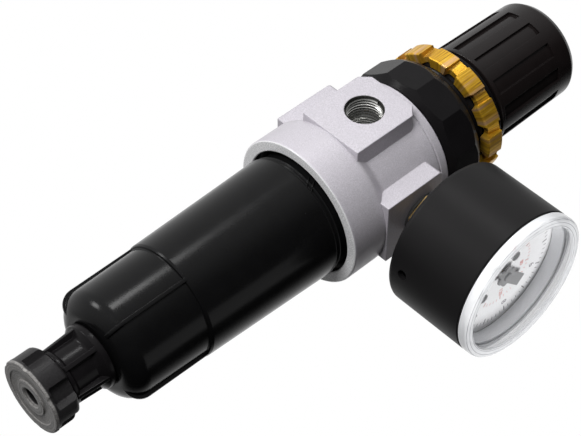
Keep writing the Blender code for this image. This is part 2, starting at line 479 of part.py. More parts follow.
def gauge_shell(black, clear, brass, rubber):
    """Case, lens and the brass socket that holds the gauge in the body."""
    wall = CASE_R - CASE_WALL
    case = turned([(5.0, CASE_BACK), (CASE_R - 1.2, CASE_BACK), (CASE_R - 0.3, CASE_BACK + 0.4),
                   (CASE_R, CASE_BACK + 1.3), (CASE_R, CASE_FRONT), (wall, CASE_FRONT),
                   (wall, CASE_BACK + CASE_WALL), (5.0, CASE_BACK + CASE_WALL)], 32)
    hole = spun(moved(spun(rod(BLOW_OUT_R, wall - 1, CASE_R + 1, 12), 90, "Y"), z=BLOW_OUT_Y), BLOW_OUT_ANGLE)
    make("gauge_case", forward(cut(case, hole)), black)
    lens = turned([(0, LENS_FRONT - 1.6), (WINDOW_R, LENS_FRONT - 1.6), (WINDOW_R + 0.5, LENS_FRONT),
                   (CASE_R - 0.6, LENS_FRONT), (CASE_R, LENS_FRONT - 0.6), (CASE_R, CASE_FRONT + GAP),
                   (wall - GAP, CASE_FRONT + GAP), (wall - GAP, CASE_FRONT - 2.6), (wall - 1.1, CASE_FRONT - 2.6),
                   (wall - 1.1, LENS_FRONT - 2.9), (0, LENS_FRONT - 2.9)], 32)
    make("gauge_lens", forward(lens), clear)
    washer = PORT_FACE + GAP
    make("gauge_seal", forward(tube(SOCKET_THREAD_R + GAP, 6.0, washer, washer + 0.8, 20)), rubber)
    hexagon = prism(polygon(SOCKET_HEX / 2, 6, 30), washer + 0.8 + GAP, CASE_BACK - GAP)
    stem = turned([(1.5, SOCKET_END), (SOCKET_THREAD_R, SOCKET_END), (SOCKET_THREAD_R, CASE_BACK),
                   (4.6, CASE_BACK), (4.6, BOURDON_BACK), (1.5, BOURDON_BACK)], 18)
    arm = box((-3.6, -15.6, CASE_BACK + CASE_WALL + GAP), (3.6, 4.0, BACK_PLATE - GAP))
    drilled = cut(joined(hexagon, arm), rod(1.5, SOCKET_END, BOURDON_FRONT - 1, 12))
    make("gauge_socket", forward(joined(drilled, stem)), brass)


def bourdon_tube(material):
    """A flattened tube bent to a C, its free end carrying a lug for the link."""
    bm = bmesh.new()
    half, middle = (BOURDON_FRONT - BOURDON_BACK) / 2, (BOURDON_FRONT + BOURDON_BACK) / 2
    section = [(-0.7, 1 - half), (-0.7, half - 1), (-0.3, half), (0.3, half), (0.7, half - 1), (0.7, 1 - half),
               (0.3, -half), (-0.3, -half)]
    start, end, steps = 252, TIP_ANGLE, 20
    loops = []
    for i in range(steps + 1):
        turn = Matrix.Rotation(math.radians(start + (end - start) * i / steps), 3, "Z")
        loops.append([bm.verts.new(turn @ Vector((TUBE_ARC_R + r, 0, middle + y))) for r, y in section])
    for a, b in zip(loops, loops[1:]):
        for s in range(len(section)):
            n = (s + 1) % len(section)
            bm.faces.new((a[s], a[n], b[n], b[s]))
    bm.faces.new(loops[0])
    bm.faces.new(loops[-1])
    bmesh.ops.recalc_face_normals(bm, faces=bm.faces)
    lug = spun(box((TUBE_ARC_R - 1.2, -1.2, middle - 0.6), (TUBE_ARC_R + 0.6, 1.2, LINK_BACK - GAP)), end + 4)
    make("bourdon_tube", forward(joined(bm, lug)), material)


def gear_outline(teeth, first, count, root, tip):
    """Points of straight-sided teeth, count of them from the first, on a wheel of so many teeth."""
    outline = []
    for tooth in range(first, first + count):
        middle = 90 + 360 * tooth / teeth
        pitch = 360 / teeth
        outline += [polar(root, middle - 0.27 * pitch), polar(tip, middle - 0.1 * pitch),
                    polar(tip, middle + 0.1 * pitch), polar(root, middle + 0.27 * pitch)]
    return outline


def movement(brass, steel):
    """The gauge's movement: two plates, the pinion on the pointer's shaft, the sector and its link."""
    pinion_r, sector_r = MODULE * PINION_TEETH / 2, MODULE * SECTOR_TEETH / 2
    pivot = -(pinion_r + sector_r)
    plate = [(-4.6, pivot - 2.6), (4.6, pivot - 2.6), (4.6, 4.8), (-4.6, 4.8)]
    shaft_holes = [rod(0.8, 30, 50, 10), moved(rod(0.8, 30, 50, 10), y=pivot)]
    pillars = [moved(rod(0.8, BACK_PLATE + 0.2, FRONT_PLATE - GAP, 10), x=-3.6, y=y) for y in (pivot - 1.6, 3.8)]
    back = cut(prism(plate, BACK_PLATE, BACK_PLATE + PLATE), *shaft_holes)
    make("movement_back_plate", forward(joined(back, *pillars)), brass)
    shaft_holes = [rod(0.8, 30, 50, 10), moved(rod(0.8, 30, 50, 10), y=pivot)]
    make("movement_front_plate", forward(cut(prism(plate, FRONT_PLATE, FRONT_PLATE + PLATE), *shaft_holes)), brass)

    teeth = prism(gear_outline(PINION_TEETH, 0, PINION_TEETH, pinion_r - 0.33, pinion_r + 0.2),
                  SECTOR_BACK - 0.3, SECTOR_FRONT + 0.3)
    shaft = rod(0.5, BACK_PLATE + 0.2, POINTER_FRONT + 0.5, 10)
    make("pointer_pinion", forward(joined(teeth, shaft)), brass)

    half_teeth = 5
    rim = gear_outline(SECTOR_TEETH, -half_teeth, 2 * half_teeth + 1, sector_r - 0.33, sector_r + 0.2)
    outline = [*rim, *arc((0, 0), sector_r - 1.6, 90 + 28, 90 + 7, 4),
               *arc((0, 0), 1.7, 120, 270, 4), polar(1.7, 300),
               polar(TAIL_LENGTH + 0.8, TAIL_ANGLE - 13), polar(TAIL_LENGTH + 0.8, TAIL_ANGLE + 13), polar(1.7, 0),
               polar(1.7, 60), *arc((0, 0), sector_r - 1.6, 90 - 7, 90 - 28, 4)]
    pin_x, pin_y = polar(TAIL_LENGTH, TAIL_ANGLE)
    arbor = rod(0.5, BACK_PLATE + 0.2, FRONT_PLATE + PLATE + 0.4, 10)
    pin = moved(rod(0.35, LINK_BACK - 0.2, SECTOR_BACK + 0.2, 8), x=pin_x, y=pin_y)
    sector = joined(prism(outline, SECTOR_BACK, SECTOR_FRONT), arbor, pin)
    make("sector_gear", forward(moved(spun(sector, SECTOR_REST), y=pivot)), brass, (0, -SECTOR_BACK, pivot))

    pin_at = Vector(polar(TAIL_LENGTH, TAIL_ANGLE + SECTOR_REST)) + Vector((0, pivot))
    run = Vector(polar(TUBE_ARC_R - 0.3, TIP_ANGLE + 4)) - pin_at
    eyes = [*arc((0, 0), 1.2, 30, 330, 6), (run.length - 1, -0.6), *arc((run.length, 0), 1.0, -120, 120, 5),
            (run.length - 1, 0.6)]
    bar = cut(prism(eyes, LINK_BACK, LINK_BACK + LINK_THICK), rod(0.35 + GAP, LINK_BACK - 1, LINK_BACK + 2, 8))
    link = moved(spun(bar, math.degrees(math.atan2(run.y, run.x))), pin_at.x, pin_at.y)
    make("link", forward(link), steel, (pin_at.x, -LINK_BACK, pin_at.y))


def dial_group(white, steel, black):
    seats = [(-3.6, 3.8), (3.6, -6.8)]
    holes = [moved(rod(0.9, DIAL_BACK - 1, DIAL_FRONT + 1, 10), x, y) for x, y in seats]
    centre = rod(1.0, DIAL_BACK - 1, DIAL_FRONT + 1, 12)
    make("gauge_dial", forward(cut(rod(DIAL_R, DIAL_BACK, DIAL_FRONT, 32), centre, *holes)), white)
    for name, (x, y) in zip(("dial_screw_upper", "dial_screw_lower"), seats):
        screw = turned([(0, FRONT_PLATE + PLATE + GAP), (0.55, FRONT_PLATE + PLATE + GAP), (0.55, DIAL_FRONT + GAP),
                        (1.3, DIAL_FRONT + GAP), (1.3, DIAL_FRONT + 0.7), (0, DIAL_FRONT + 0.7)], 12)
        make(name, forward(moved(screw, x, y)), steel)
    blade = [(-1.7, -POINTER_TAIL), (1.7, -POINTER_TAIL), (1.7, -2.0), *arc((0, 0), 2.2, -60, 60, 4),
             (0.35, 3.0), (0.1, POINTER_LENGTH), (-0.1, POINTER_LENGTH), (-0.35, 3.0),
             *arc((0, 0), 2.2, 120, 240, 4), (-1.7, -2.0)]
    hand = cut(prism(blade, POINTER_BACK, POINTER_FRONT), rod(0.8, POINTER_BACK - 1, POINTER_FRONT + 1, 10))
    make("gauge_pointer", forward(spun(hand, -POINTER_ZERO)), black, (0, -POINTER_BACK, 0))


def build():
    clear_scene()
    die_cast = finish("die_cast_metal", (0.62, 0.60, 0.66), 0.35, 0.8)
    gloss = finish("gloss_black_plastic", (0.012, 0.012, 0.012), 0.12)
    satin = finish("satin_black_plastic", (0.018, 0.017, 0.018), 0.35)
    yellow = finish("yellow_passivated_metal", (0.75, 0.45, 0.06), 0.3, 0.9)
    brass = finish("brass", (0.75, 0.55, 0.25), 0.3, 1.0)
    steel = finish("spring_steel", (0.55, 0.55, 0.56), 0.3, 1.0)
    rubber = finish("black_rubber", (0.02, 0.02, 0.02), 0.7)
    inner = finish("white_nylon", (0.75, 0.75, 0.72), 0.45)
    sintered = finish("sintered_plastic", (0.85, 0.84, 0.8), 0.9)
    case = finish("black_paint", (0.02, 0.019, 0.02), 0.4, 0.2)
    clear = finish("clear_plastic", (0.95, 0.95, 0.97), 0.05, 0.0, 0.2)
    white = finish("dial_white", (0.9, 0.9, 0.9), 0.5)
    body(die_cast)
    bonnet(satin)
    panel_nut(yellow)
    adjusting_knob(satin)
    adjusting_screw(steel)
    spring_nut(brass)
    diaphragm_group(steel, rubber, inner)
    main_valve(brass, rubber, inner, steel)
    filter_group(inner, sintered, rubber)
    bowl(gloss)
    drain(satin, rubber, brass)
    rear_plug(brass)
    gauge_shell(case, clear, brass, rubber)
    bourdon_tube(brass)
    movement(brass, steel)
    dial_group(white, steel, satin)


build()
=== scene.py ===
"""Visible surfaces, finishes, light and view for a miniature air filter-regulator."""

import math

import bmesh
import bpy
from mathutils import Matrix, Vector


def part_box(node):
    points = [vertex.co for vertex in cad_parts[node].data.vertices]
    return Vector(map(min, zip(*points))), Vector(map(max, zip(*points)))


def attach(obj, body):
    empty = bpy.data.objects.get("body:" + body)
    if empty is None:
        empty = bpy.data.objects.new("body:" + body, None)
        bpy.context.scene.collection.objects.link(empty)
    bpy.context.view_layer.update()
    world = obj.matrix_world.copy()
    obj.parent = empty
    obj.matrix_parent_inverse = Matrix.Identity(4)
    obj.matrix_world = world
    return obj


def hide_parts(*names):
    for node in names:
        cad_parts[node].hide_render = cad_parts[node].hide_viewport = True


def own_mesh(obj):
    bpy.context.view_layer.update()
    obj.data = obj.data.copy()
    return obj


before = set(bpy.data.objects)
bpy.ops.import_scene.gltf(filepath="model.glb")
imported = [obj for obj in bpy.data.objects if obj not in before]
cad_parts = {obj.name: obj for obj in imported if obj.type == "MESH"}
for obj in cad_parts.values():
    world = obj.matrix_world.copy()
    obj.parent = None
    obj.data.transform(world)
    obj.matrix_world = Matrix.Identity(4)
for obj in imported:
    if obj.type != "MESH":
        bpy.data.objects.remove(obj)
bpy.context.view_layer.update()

MM = 0.001
TURN = 2 * math.pi
INDEX = 26                      # degrees: lobes and ribs are indexed from this angle


def top(node):
    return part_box(node)[1][2] / MM


def bottom(node):
    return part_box(node)[0][2] / MM


def reach(node, axis=0):
    """Furthest a node goes from the origin along one axis."""
    low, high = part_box(node)
    return max(abs(low[axis]), abs(high[axis])) / MM


# Sizes in millimetres. Those that the solid frame already has are read from it.
PORT_FACE = reach("body")
RIM_TOP, SKIRT_BOTTOM = top("body"), bottom("body")
SKIRT_R, BODY_R, SKIRT_BORE = 20.2, 18.0, 17.1
BOSS_HALF, BOSS_BOTTOM, BOSS_TOP, GAUGE_BOSS_TOP = 9.5, -11.7, 9.6, 7.2
REAR_RISE = 1.7                 # the rear block stands this much higher than the front one
SKIRT_TOP = -12.0
THREAD_MAJOR, THREAD_MINOR, THREAD_PITCH, PORT_MOUTH = 4.87, 4.28, 0.907, 5.0
SOCKET_HALF = 2.5               # half the width of the plug's hexagon socket
BONNET_BOTTOM, SHOULDER, NECK_TOP, FLAT_RADIUS = bottom("bonnet"), 24.2, 35.4, 18.9
NECK_R = 14.9
NUT_BOTTOM, NUT_TOP, NUT_R, NUT_BORE = bottom("panel_nut"), top("panel_nut"), 18.3, 15.2
KNOB_BOTTOM, KNOB_TOP, KNOB_R = bottom("adjusting_knob"), top("adjusting_knob"), 14.3
BOWL_END, LEDGE, STEP_Z = bottom("bowl"), -24.5, -64.0
FLANGE_BOTTOM, DRAIN_NECK_END = -88.2, bottom("drain_body")
CAP_TOP, CAP_END, CAP_R = top("drain_knob"), bottom("drain_knob"), 9.6
CASE_R, CASE_BACK, CASE_FRONT = reach("gauge_case"), -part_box("gauge_case")[1][1] / MM, reach("gauge_case", 1)
LENS_FRONT = reach("gauge_lens", 1)
DIAL_FRONT, DIAL_BACK = reach("gauge_dial", 1), -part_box("gauge_dial")[1][1] / MM
POINTER_BACK = -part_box("gauge_pointer")[1][1] / MM


# ---------------------------------------------------------------- node graphs

class Wire:
    """An output socket that sums, differences and products can be written with."""

    def __init__(self, graph, socket):
        self.graph, self.socket = graph, socket

    def maths(self, operation, *values, clamp=False):
        return self.graph.node(self.graph.math, {"operation": operation, "use_clamp": clamp}, *values)

    def __add__(self, other):
        return self.maths("ADD", self, other)

    def __sub__(self, other):
        return self.maths("SUBTRACT", self, other)

    def __mul__(self, other):
        return self.maths("MULTIPLY", self, other)

    def __truediv__(self, other):
        return self.maths("DIVIDE", self, other)

    def __rsub__(self, other):
        return self.maths("SUBTRACT", other, self)

    __radd__, __rmul__ = __add__, __mul__


class Graph:
    """A node tree that is filled one node at a time."""

    math = "ShaderNodeMath"

    def __init__(self, tree):
        self.tree = tree

    def node(self, kind, settings=None, *values, out=0, at=None):
        made = self.tree.nodes.new(kind)
        for key, value in (settings or {}).items():
            if key == "stops":
                for place, (where, colour) in enumerate(value):
                    ramp = made.color_ramp.elements
                    stop = ramp[place] if place < len(ramp) else ramp.new(where)
                    stop.position, stop.color = where, (*colour, 1)
            else:
                setattr(made, key, value)
        pairs = [(made.inputs[i], v) for i, v in enumerate(values)]
        pairs += [(made.inputs[key], value) for key, value in (at or {}).items()]
        for socket, value in pairs:
            if isinstance(value, Wire):
                self.tree.links.new(value.socket, socket)
            elif value is not None:
                socket.default_value = value
        return Wire(self, made.outputs[out])

    def split(self, vector):
        parts = self.node("ShaderNodeSeparateXYZ", None, vector).socket.node.outputs
        return [Wire(self, part) for part in parts]

    def join(self, x, y, z):
        return self.node("ShaderNodeCombineXYZ", None, x, y, z)

    def noise(self, place, scale, detail=2.0, rough=0.5):
        return self.node("ShaderNodeTexNoise", None, place,
                         at={"Scale": scale, "Detail": detail, "Roughness": rough})

    def step(self, value, low, high, to_low=0.0, to_high=1.0):
        """Rises smoothly from one level to the other as value goes from low to high."""
        return self.node("ShaderNodeMapRange", {"interpolation_type": "SMOOTHSTEP"}, value, low, high,
                         to_low, to_high)

    def length(self, x, y, z):
        return self.node("ShaderNodeVectorMath", {"operation": "LENGTH"}, self.join(x, y, z), out=1)

    def dot(self, direction, line):
        return self.node("ShaderNodeVectorMath", {"operation": "DOT_PRODUCT"}, direction, tuple(line), out=1)

    def least(self, first, second):
        return self.node(self.math, {"operation": "MINIMUM"}, first, second)

    def most(self, first, second):
        return self.node(self.math, {"operation": "MAXIMUM"}, first, second)

    def tint(self, share, first, second):
        first = first if isinstance(first, Wire) else (*first, 1)
        second = second if isinstance(second, Wire) else (*second, 1)
        return self.node("ShaderNodeMix", {"data_type": "RGBA"}, out=2, at={0: share, 6: first, 7: second})

    def bump(self, height, distance, strength=1.0, under=None):
        return self.node("ShaderNodeBump", None,
                         at={"Strength": strength, "Distance": distance, "Height": height, "Normal": under})


def finish(name, colour, roughness, metallic=0.0, recipe=None, edge=0.0, **sockets):
    """A material: constants go on the shader, and recipe gives what changes over the surface."""
    made = bpy.data.materials.new(name)
    made.use_nodes = True
    made.diffuse_color = (*colour, 1)
    g = Graph(made.node_tree)
    shader = made.node_tree.nodes["Principled BSDF"]
    shader.inputs["Base Color"].default_value = (*colour, 1)
    shader.inputs["Roughness"].default_value = roughness
    shader.inputs["Metallic"].default_value = metallic
    for key, value in sockets.items():
        shader.inputs[key.replace("_", " ")].default_value = value
    place = g.node("ShaderNodeTexCoord", None, out=3)
    soft = g.node("ShaderNodeBevel", {"samples": 4}, edge * MM) if edge else None
    found = recipe(g, place, soft) if recipe else {}
    if soft and "Normal" not in found:
        found["Normal"] = soft
    for key, wire in found.items():
        made.node_tree.links.new(wire.socket, shader.inputs[key])
    return made


def casting(g, place, soft):
    """Fine-grained grey paint, left off the turned rim and the ports, with painted shade in the port bores and
    inside the skirt.
    """
    x, y, z = g.split(place)
    radius = g.length(x, y, 0)
    nearest = g.least(g.length(0, y, z), g.length(x, 0, z))
    ports = 1 - g.step(nearest, (PORT_MOUTH - 0.05) * MM, (PORT_MOUTH + 0.05) * MM)
    rim = 1 - g.step(z, (SKIRT_BOTTOM + 0.08) * MM, (SKIRT_BOTTOM + 0.22) * MM)
    grain = g.noise(place, 5200, 1.0)
    cloud = g.noise(place, 420, 3.0)
    flake = g.step(grain, 0.36, 0.66)
    paint = g.tint(flake, (0.44, 0.42, 0.455), (0.57, 0.545, 0.59))
    paint = g.tint(g.step(cloud, 0.35, 0.7) * 0.3, paint, (0.47, 0.45, 0.485))
    rings = g.noise(g.join(radius, 0, 0), 9000)
    metal = g.tint(rings, (0.74, 0.74, 0.75), (0.95, 0.95, 0.96))
    # Painted shade: the port bores are coloured near-black metal instead of bright machined metal.
    metal = g.tint(ports, metal, (0.09, 0.09, 0.085))
    bare = g.most(ports, rim)
    # Painted shade: inside the skirt's bore, between the rim and the skirt's top, the colour goes near black.
    inside = 1 - g.step(radius, (SKIRT_BORE + 0.2) * MM, (SKIRT_BORE + 0.3) * MM)
    below = 1 - g.step(z, (SKIRT_TOP - 0.5) * MM, SKIRT_TOP * MM)
    painted_skirt_shade = inside * below * g.step(z, (SKIRT_BOTTOM + 0.1) * MM, (SKIRT_BOTTOM + 0.3) * MM)
    return {"Base Color": g.tint(painted_skirt_shade, g.tint(bare, paint, metal), (0.012, 0.012, 0.013)),
            "Roughness": 0.34 + flake * 0.16 - bare * 0.16,
            "Metallic": 0.22 + ports * 0.45,
            "Normal": g.bump(grain, 0.03 * MM, 0.35, soft)}


def moulded(colour, gloss, grain_size, depth):
    """Moulded plastic: slight waviness in the gloss and a fine grain."""
    def recipe(g, place, soft):
        wave = g.noise(place, 260, 3.0)
        grain = g.noise(place, grain_size, 2.0)
        tone = g.tint(wave, tuple(c * 0.8 for c in colour), tuple(c * 1.25 for c in colour))
        return {"Base Color": tone, "Roughness": gloss + wave * 0.10 + grain * 0.04,
                "Normal": g.bump(grain, depth * MM, 0.3, soft)}
    return recipe


def yellow(g, place, soft):
    """Yellow plated metal with machining streaks along the axis, whose brown to pale gold bands are painted
    reflection, and pinkish patches of painted highlight.
    """
    x, y, z = g.split(place)
    angle = g.node(g.math, {"operation": "ARCTAN2"}, y, x)
    # Machining streaks: real marks in the roughness and bump, with painted reflection in their brown to pale
    # gold colour bands.
    lines = g.noise(g.join(angle * 46, z * 90, 0), 1.0, 3.0, 0.65)
    # Painted highlight: broad pinkish patches over the plating.
    painted_pink_highlights = g.noise(g.join(angle * 7, z * 30, 3), 1.0, 2.0)
    stops = [(0.28, (0.20, 0.09, 0.02)), (0.42, (0.55, 0.29, 0.025)),
             (0.60, (0.80, 0.47, 0.03)), (0.82, (0.92, 0.66, 0.20))]
    colour = g.node("ShaderNodeValToRGB", {"stops": stops}, lines)
    return {"Base Color": g.tint(g.step(painted_pink_highlights, 0.5, 0.75) * 0.65, colour, (0.78, 0.50, 0.36)),
            "Roughness": 0.24 + lines * 0.22,
            "Normal": g.bump(lines, 0.03 * MM, 0.5, soft)}


def turned_metal(low, high):
    """Machined metal with rings that follow the cut."""
    def recipe(g, place, soft):
        x, y, z = g.split(place)
        rings = g.noise(g.join(z, g.length(x, y, 0), 0), 7000, 1.0)
        return {"Base Color": g.tint(rings, low, high), "Roughness": 0.22 + rings * 0.2,
                "Normal": g.bump(rings, 0.01 * MM, 0.4, soft)}
    return recipe


def thread_metal(g, place, soft):
    """A cut pipe thread: bright metal on its crests, with painted shade that turns its roots near black."""
    x, y, z = g.split(place)
    rings = g.noise(place, 3000, 2.0)
    crest = 1 - g.step(g.length(0, y, z), (THREAD_MINOR + 0.14) * MM, (THREAD_MINOR + 0.36) * MM)
    # Painted shade: the roots between the crests are coloured near black.
    return {"Base Color": g.tint(crest, (0.07, 0.07, 0.065), (0.93, 0.93, 0.90)),
            "Roughness": 0.2 + rings * 0.15}


def grained(low, high, scale, depth, rough, spread=0.15):
    """A plain matt finish with an all-over grain."""
    def recipe(g, place, soft):
        grain = g.noise(place, scale, 3.0)
        return {"Base Color": g.tint(grain, low, high), "Roughness": rough + grain * spread,
                "Normal": g.bump(grain, depth * MM, 0.5, soft)}
    return recipe


def worn(g, place, soft):
    """Black plastic, lighter grey on the end face in rings about the outlet."""
    x, y, z = g.split(place)
    face = 1 - g.step(z, (CAP_END + 0.5) * MM, (CAP_END + 0.9) * MM)
    grain = g.noise(place, 2400, 3.0)
    rings = g.noise(g.join(g.length(x, y, 0), 0, 0), 2600, 2.0)
    # The end face is coloured lighter grey in rings; the sides stay black.
    face_rings = g.step(rings + grain * 0.5, 0.55, 0.95)
    face_grey = g.tint(face_rings, (0.10, 0.097, 0.095), (0.27, 0.262, 0.255))
    black = g.tint(grain, (0.007, 0.0067, 0.007), (0.020, 0.019, 0.020))
    return {"Base Color": g.tint(face, black, face_grey), "Roughness": 0.32 + grain * 0.15,
            "Normal": g.bump(grain, 0.08 * MM, 0.5, soft)}


def clear(g, place, soft):
    """Clear plastic: see-through face on, with painted reflection that whitens it edge on and over its rim,
    and thin grey rings of painted shade where its steps show.
    """
    x, y, z = g.split(place)
    across = g.length(x, 0, z)
    # Painted reflection: the plastic turns whiter and less see-through where it is seen edge on.
    turn = g.node("ShaderNodeLayerWeight", None, 0.35, out=1)
    cloud = g.noise(place, 190, 2.0)
    rim = g.step(across, 17.25 * MM, 17.45 * MM)
    inside = g.step(y, -51.5 * MM, -51.1 * MM)
    # Painted shade: thin grey rings where the plastic's steps show, left off inside the case.
    line = 0
    for radius in (17.85, 18.8, 19.65):
        rise = g.step(across, (radius - 0.12) * MM, radius * MM)
        line = line + rise - g.step(across, radius * MM, (radius + 0.12) * MM)
    line = line * g.step(cloud, 0.3, 0.55) * (1 - inside)
    # Painted reflection: over the rim the plastic is white and nearly opaque, most of all on the wall inside
    # the case, which mirrors the white dial.
    painted_rim_reflection = rim * (0.66 + inside * 0.3)
    return {"Base Color": g.tint(line, (0.93, 0.94, 0.96), (0.25, 0.25, 0.28)),
            "Alpha": g.least(0.03 + g.step(turn, 0.5, 0.97) * 0.4 + painted_rim_reflection, 1.0),
            "Roughness": 0.05 + cloud * 0.05}


FINISHES = {
    "casting": finish("painted_casting", (0.58, 0.55, 0.63), 0.4, 0.35, casting, edge=0.35),
    "gloss": finish("gloss_black", (0.004, 0.004, 0.0042), 0.16, 0.0,
                    moulded((0.004, 0.004, 0.0042), 0.13, 2600, 0.02), edge=0.2, Specular_IOR_Level=0.14),
    "satin": finish("satin_black", (0.006, 0.0055, 0.006), 0.2, 0.0,
                    moulded((0.006, 0.0055, 0.006), 0.15, 3600, 0.04), edge=0.2, Specular_IOR_Level=0.10),
    "cap": finish("grey_faced_black", (0.018, 0.017, 0.018), 0.4, 0.0, worn, edge=0.2, Specular_IOR_Level=0.2),
    "knob": finish("knob_black", (0.009, 0.007, 0.007), 0.22, 0.0,
                   moulded((0.009, 0.007, 0.007), 0.16, 4200, 0.04), edge=0.15, Specular_IOR_Level=0.2),
    "case": finish("matt_black_enamel", (0.007, 0.0065, 0.007), 0.5, 0.0,
                   grained((0.005, 0.0048, 0.005), (0.009, 0.0085, 0.009), 5200, 0.03, 0.38),
                   Specular_IOR_Level=0.16),
    "yellow": finish("yellow_plating", (0.75, 0.42, 0.03), 0.35, 0.7, yellow, edge=0.15),
    "brass": finish("machined_brass", (0.72, 0.5, 0.2), 0.3, 1.0,
                    turned_metal((0.58, 0.37, 0.12), (0.82, 0.60, 0.26))),
    "steel": finish("bright_steel", (0.6, 0.6, 0.61), 0.3, 1.0,
                    turned_metal((0.45, 0.45, 0.46), (0.70, 0.70, 0.71))),
    "thread": finish("cut_thread", (0.6, 0.6, 0.6), 0.3, 0.85, thread_metal),
    "rubber": finish("black_rubber", (0.02, 0.02, 0.02), 0.7, 0.0,
                     grained((0.012, 0.012, 0.012), (0.03, 0.03, 0.03), 4000, 0.02, 0.6)),
    "nylon": finish("white_nylon", (0.75, 0.75, 0.72), 0.45, 0.0,
                    grained((0.68, 0.68, 0.64), (0.80, 0.80, 0.77), 2500, 0.02, 0.4)),
    "sinter": finish("sintered_plastic", (0.85, 0.84, 0.8), 0.9, 0.0,
                     grained((0.6, 0.59, 0.55), (0.9, 0.89, 0.86), 2200, 0.25, 0.75)),
    "dial": finish("dial_enamel", (0.86, 0.86, 0.87), 0.45, 0.0,
                   grained((0.83, 0.83, 0.84), (0.88, 0.88, 0.89), 1500, 0.005, 0.4, 0.05)),
    "ink": finish("grey_ink", (0.24, 0.22, 0.24), 0.6, 0.0,
                  grained((0.19, 0.17, 0.19), (0.30, 0.28, 0.30), 3000, 0.005, 0.55)),
    "red_ink": finish("red_ink", (0.68, 0.24, 0.22), 0.6, 0.0,
                      grained((0.62, 0.20, 0.18), (0.74, 0.30, 0.28), 3000, 0.005, 0.55)),
    "pointer": finish("pointer_grey", (0.26, 0.26, 0.265), 0.4, 0.0,
                      grained((0.22, 0.22, 0.225), (0.31, 0.31, 0.315), 3000, 0.01, 0.35)),
    "clear": finish("clear_plastic", (0.93, 0.94, 0.96), 0.04, 0.0, clear, IOR=1.49),
}


# ---------------------------------------------------------------- shape tools

def polar(radius, degrees):
    angle = math.radians(degrees)
    return radius * math.cos(angle), radius * math.sin(angle)


def rounded(corners, bends=4):
    """A closed outline in which a corner's third value is the radius that it is rounded to."""
    points = []
    for before, here, after in zip(corners[-1:] + corners[:-1], corners, corners[1:] + corners[:1]):
        corner = Vector(here[:2])
        if len(here) < 3:
            points.append(tuple(corner))
            continue
        a = (Vector(before[:2]) - corner).normalized()
        b = (Vector(after[:2]) - corner).normalized()
        half = a.angle(b) / 2
        centre = corner + (a + b).normalized() * here[2] / math.sin(half)
        start = corner + a * here[2] / math.tan(half) - centre
        end = corner + b * here[2] / math.tan(half) - centre
        for i in range(bends + 1):
            mixed = start.lerp(end, i / bends)
            swept = start * math.sin((1 - i / bends) * (math.pi - 2 * half))
            swept += end * math.sin(i / bends * (math.pi - 2 * half))
            points.append(tuple(centre + (swept if swept.length > 1e-9 else mixed).normalized() * here[2]))
    return points


def turned(outline, steps=144):
    """A solid turned about Z from a closed outline of (radius, height) points."""
    bm = bmesh.new()
    points = [bm.verts.new((max(r, 0), 0, z)) for r, z in outline]
    for (r0, _), (r1, _), a, b in zip(outline, outline[1:] + outline[:1], points, points[1:] + points[:1]):
        if r0 > 0 or r1 > 0:
            bm.edges.new((a, b))
    bmesh.ops.spin(bm, geom=bm.verts[:] + bm.edges[:], cent=(0, 0, 0), axis=(0, 0, 1), angle=TURN,
                   steps=steps, use_merge=True)
    bmesh.ops.remove_doubles(bm, verts=bm.verts, dist=1e-5)
    bmesh.ops.recalc_face_normals(bm, faces=bm.faces)
    return bm


def prism(outline, low, high, edge=0.0):
    """A flat outline raised along Z, with its edges rounded."""
    bm = bmesh.new()
    base = bm.faces.new([bm.verts.new((x, y, low)) for x, y in outline])
    raised = bmesh.ops.extrude_face_region(bm, geom=[base])["geom"]
    lift = [v for v in raised if isinstance(v, bmesh.types.BMVert)]
    bmesh.ops.translate(bm, verts=lift, vec=(0, 0, high - low))
    if edge:
        bmesh.ops.bevel(bm, geom=bm.edges[:], offset=edge, segments=2, profile=0.5, affect="EDGES")
    bmesh.ops.recalc_face_normals(bm, faces=bm.faces)
    return bm


def polygon(apothem, sides, start=0.0):
    corner = apothem / math.cos(math.pi / sides)
    return [polar(corner, start + 360 * (i + 0.5) / sides) for i in range(sides)]


def spun(bm, degrees, axis="Z"):
    bmesh.ops.rotate(bm, verts=bm.verts, matrix=Matrix.Rotation(math.radians(degrees), 3, axis))
    return bm


def moved(bm, x=0.0, y=0.0, z=0.0):
    bmesh.ops.translate(bm, verts=bm.verts, vec=(x, y, z))
    return bm


def forward(bm):
    """Turns a shape built along +Z so that it runs along -Y."""
    return spun(bm, 90, "X")


def mesh_of(bm, name="scratch"):
    mesh = bpy.data.meshes.new(name)
    bm.to_mesh(mesh)
    bm.free()
    return mesh


def scratch(bm):
    made = bpy.data.objects.new("scratch", mesh_of(bm))
    bpy.context.collection.objects.link(made)
    return made


def baked(thing):
    """The evaluated shape of an object as a bmesh; the object is removed."""
    mesh = bpy.data.meshes.new_from_object(thing.evaluated_get(bpy.context.evaluated_depsgraph_get()))
    bm = bmesh.new()
    bm.from_mesh(mesh)
    bpy.data.objects.remove(thing, do_unlink=True)
    bpy.data.meshes.remove(mesh)
    return bm


def combined(bm, others, operation):
    base, tools = scratch(bm), [scratch(other) for other in others]
    for tool in tools:
        step = base.modifiers.new("step", "BOOLEAN")
        step.operation, step.object, step.solver = operation, tool, "EXACT"
    result = baked(base)
    for tool in tools:
        bpy.data.objects.remove(tool, do_unlink=True)
    bmesh.ops.remove_doubles(result, verts=result.verts, dist=1e-5)
    return result


def joined(bm, *others):
    return combined(bm, others, "UNION")


def cut(bm, *others):
    return combined(bm, others, "DIFFERENCE")


def merged(*shapes):
    """Closed shapes kept in one mesh without a Boolean."""
    result = bmesh.new()
    for shape in shapes:
        mesh = mesh_of(shape)
        result.from_mesh(mesh)
        bpy.data.meshes.remove(mesh)
    return result


